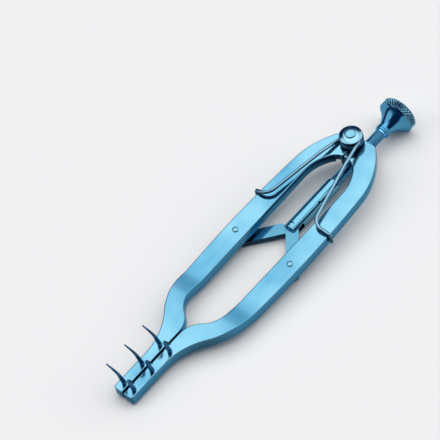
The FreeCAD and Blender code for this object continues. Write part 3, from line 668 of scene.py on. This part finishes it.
def make_apex_pin():
    outer, shank = 1.25, 0.45
    side = math.sqrt(outer ** 2 - shank ** 2)
    profile = [(-SCREW_DROP + along, radius) for along, radius in (
        (outer, 0), (outer - 0.01, 0.2), (side + 0.02, shank - 0.05), (side - 0.02, shank),
        (-side, shank), (-outer, 0.27), (-outer, 0))]
    piece("apex_pin_turned", lathe("apex_pin_turned", profile, 48, upright(-APEX_REACH, 0)),
          "sleeve", "rivet_blue", ["apex_pin"])


def make_prong(side, sign, number):
    """A tapering round prong: an upright post, a bend outwards and a fine point."""
    post, radius, angle, point = 2.7, 1.7, math.radians(65), 1.0
    lean = Matrix.Rotation(math.radians(-8), 3, "Y")
    path = [Vector((0, 0, post * i / 8)) for i in range(9)]
    for i in range(1, 13):
        a = angle * i / 12
        path.append(Vector((0, sign * radius * (1 - math.cos(a)), post + radius * math.sin(a))))
    heading = Vector((0, sign * math.sin(angle), math.cos(angle)))
    path += [path[-1] + heading * point * i / 5 for i in range(1, 6)]
    foot = Vector((-PRONG_REACH[number - 1], sign * PRONG_HALF, THICKNESS + CRANK_LIFT))
    total = post + radius * angle + point
    points, faces, travelled = [], [], 0
    sides = 20
    for i, place in enumerate(path):
        if i:
            travelled += (place - path[i - 1]).length
        ahead = (path[min(i + 1, len(path) - 1)] - path[max(i - 1, 0)]).normalized()
        across = Vector((1, 0, 0))
        other = ahead.cross(across)
        size = 0.399 + (0.115 - 0.399) * (travelled / total) ** 1.15
        for j in range(sides):
            turn = 2 * math.pi * j / sides
            spoke = size * (across * math.cos(turn) + other * math.sin(turn))
            points.append(at(*(foot + lean @ (place + spoke))))
    rings = len(path)
    for i in range(rings - 1):
        for j in range(sides):
            k = (j + 1) % sides
            faces.append((i * sides + j, i * sides + k, (i + 1) * sides + k, (i + 1) * sides + j))
    points.append(at(*(foot + lean @ (path[-1] + heading * 0.07))))
    points.append(at(*(foot + Vector((0, 0, -0.2)))))
    last = (rings - 1) * sides
    for j in range(sides):
        k = (j + 1) % sides
        faces.append((last + j, last + k, rings * sides))
        faces.append((k, j, rings * sides + 1))
    piece(f"{side}_prong_{number}_drawn", mesh_of(f"{side}_prong_{number}_drawn", points, faces),
          f"{side}_arm", "prong_blue", [f"{side}_prong_{number}"], 70)


def thread(along, radius, angle):
    """Radius of a right-hand thread: sloping flanks between a narrow crest and a root."""
    share = (along / THREAD_PITCH - angle / (2 * math.pi)) % 1
    depth = min(max((abs(share - 0.5) * 2 - 0.22) / 0.35, 0), 1)
    return radius - THREAD_DEPTH * depth


def make_screw():
    front, back, radius, groove = SHOULDER, -7.4, SCREW_RADIUS, 0.5
    count = round((front - back) / (THREAD_PITCH / 12))
    threaded = [(front + (back - front) * i / count, radius) for i in range(count + 1)]

    def relief(along, radius, angle):
        return thread(along, radius, angle) if back < along < front - 0.25 else radius
    profile = [(SOCKET_END, 0), (SOCKET_END, NECK_RADIUS), (front, NECK_RADIUS)] + threaded + [
        (-10.9, radius), (-10.9, groove), (-11.6, groove), (-11.6, radius), (-12.45, radius),
        (-12.6, radius - 0.15), (-12.6, 0)]
    piece("screw_threaded", lathe("screw_threaded", profile, 48, on_screw, relief),
          "screw", "screw_blue", ["screw_spindle"])


def knurl(along, radius, angle):
    """Two crossing sets of shallow grooves round the rim."""
    depth = 0
    for way in (1, -1):
        share = (angle * KNURL_TURNS / (2 * math.pi) + way * along / KNURL_PITCH) % 1
        depth = max(depth, 1 - abs(share - 0.5) * 2)
    return radius - KNURL_DEPTH * depth


def make_knob():
    back, front = KNOB_REACH, RIM_FRONT
    rim, edge, collar, flare_radius = KNOB_RIM, 0.2, 1.25, 5.0
    flare = [(p.x, p.y) for p in bent((6.6, 1.1), (front - edge, rim - edge), flare_radius,
                                      "left", 0.12)]
    face = [(back - 0.25, 0), (back - 0.25, rim - 3.2 * edge), (back, rim - 2 * edge),
            (back, rim - edge), (back - edge, rim)]
    face = softened(face, 0.12)
    rows = 22
    length = KNOB_WIDTH - 2 * edge + 0.2
    band = [(back - edge - length * i / rows, rim) for i in range(1, rows + 1)]
    nose = softened([flare[0], (6.6, collar), (6.25, collar), (6.2, collar - 0.08),
                     (6.14, collar), (SHOULDER, collar), (SHOULDER, NECK_RADIUS)], 0.05)
    profile = face + band + flare[::-1] + nose[1:] + [(SOCKET_END, NECK_RADIUS)]
    low, high = front + 0.02, back - edge - 0.02

    def relief(along, radius, angle):
        return knurl(along, radius, angle) if radius > rim - 0.01 and low < along < high else radius
    piece("knob_knurled", lathe("knob_knurled", profile, 360, on_screw, relief),
          "screw", "knob_blue", ["thumb_knob"], 40)


for number in (1, 2, 3):
    make_prong("left", LEFT, number)
    make_prong("right", RIGHT, number)
make_spring()
make_cap()
make_hinge_pin()
make_link_pin("left", LEFT)
make_link_pin("right", RIGHT)
make_apex_pin()
make_screw()
make_knob()


# Floor, light and camera

TOP_LIGHT = (0.2, 0.13, 0.96)
SIDE_LIGHT = (0.7, -0.5, 0.45)
REAR_LIGHT = (-0.55, 0.5, 0.67)
DARK_SURROUND = (0.005, 0.02, 0.05)
WHITE_TENT = (1.0, 1.0, 1.0)
TENT_STRENGTH = 2.03


def make_floor():
    """The instrument rests on the knob's rim and on the tails of the link pins."""
    front = at(-PIN_REACH - 0.6, 0, -SCREW_DROP - 0.8)
    back = at(9.6, 0, -SCREW_DROP - KNOB_RIM)
    slope = math.atan2(front.z - back.z, back.x - front.x)
    mesh = mesh_of("floor", [(-2, -2, 0), (2, -2, 0), (2, 2, 0), (-2, 2, 0)], [(0, 1, 2, 3)])
    material, tree, surface = shader("floor paper", (0.83, 0.822, 0.81), 0.85, metallic=0.0)
    place = node(tree, "ShaderNodeTexCoord").outputs["Object"]
    fibres = noise(tree, place, 900, detail=4.0)
    relief = node(tree, "ShaderNodeBump", Strength=0.1, Distance=0.0001)
    tree.links.new(fibres, relief.inputs["Height"])
    tree.links.new(relief.outputs["Normal"], surface.inputs["Normal"])
    mesh.materials.append(material)
    floor = bpy.data.objects.new("floor", mesh)
    bpy.context.scene.collection.objects.link(floor)
    floor.rotation_euler = (0, slope, 0)
    floor.location = back - Vector((0, 0, 0.00002))


def make_world():
    """A studio tent: a bright white top, a dimmer right side, a patch beyond the tips, and dark
    blue round the horizon."""
    world = bpy.data.worlds.new("studio")
    world.use_nodes = True
    tree = world.node_tree
    background = tree.nodes["Background"]
    direction = node(tree, "ShaderNodeTexCoord").outputs["Generated"]

    def lobe(towards, start, end, high):
        """Bright around one direction, from the cosines start to end."""
        dot = node(tree, "ShaderNodeVectorMath", operation="DOT_PRODUCT")
        tree.links.new(direction, dot.inputs[0])
        dot.inputs[1].default_value = Vector(towards).normalized()
        made = node(tree, "ShaderNodeMapRange", interpolation_type="SMOOTHSTEP")
        for key, value in (("From Min", start), ("From Max", end), ("To Min", 0), ("To Max", high)):
            made.inputs[key].default_value = value
        tree.links.new(dot.outputs["Value"], made.inputs["Value"])
        return made.outputs["Result"]
    brightness = lobe(TOP_LIGHT, 0.66, 0.9, 1.0)
    for towards, start, end, high in ((SIDE_LIGHT, 0.7, 0.95, 0.75), (REAR_LIGHT, 0.86, 0.97, 0.65)):
        largest = node(tree, "ShaderNodeMath", operation="MAXIMUM")
        tree.links.new(brightness, largest.inputs[0])
        tree.links.new(lobe(towards, start, end, high), largest.inputs[1])
        brightness = largest.outputs[0]
    tint = blend_colours(tree, brightness, DARK_SURROUND, WHITE_TENT)
    tree.links.new(tint, background.inputs["Color"])
    background.inputs["Strength"].default_value = TENT_STRENGTH
    bpy.context.scene.world = world


def make_camera():
    camera = bpy.data.cameras.new("camera")
    camera.lens = 181.028
    camera.sensor_width = 36
    camera.clip_start, camera.clip_end = 0.01, 10
    holder = bpy.data.objects.new("camera", camera)
    bpy.context.scene.collection.objects.link(holder)
    right = Vector((0.647419, -0.74404, -0.165084))
    up = Vector((0.68237, 0.469426, 0.560366))
    back = Vector((-0.33944, -0.47544, 0.811626))
    turn = Matrix((right, up, back)).transposed().to_4x4()
    holder.matrix_world = Matrix.Translation((-0.121863, -0.16044, 0.29573)) @ turn
    bpy.context.scene.camera = holder


make_floor()
make_world()
make_camera()
bpy.context.scene.view_settings.view_transform = "Standard"
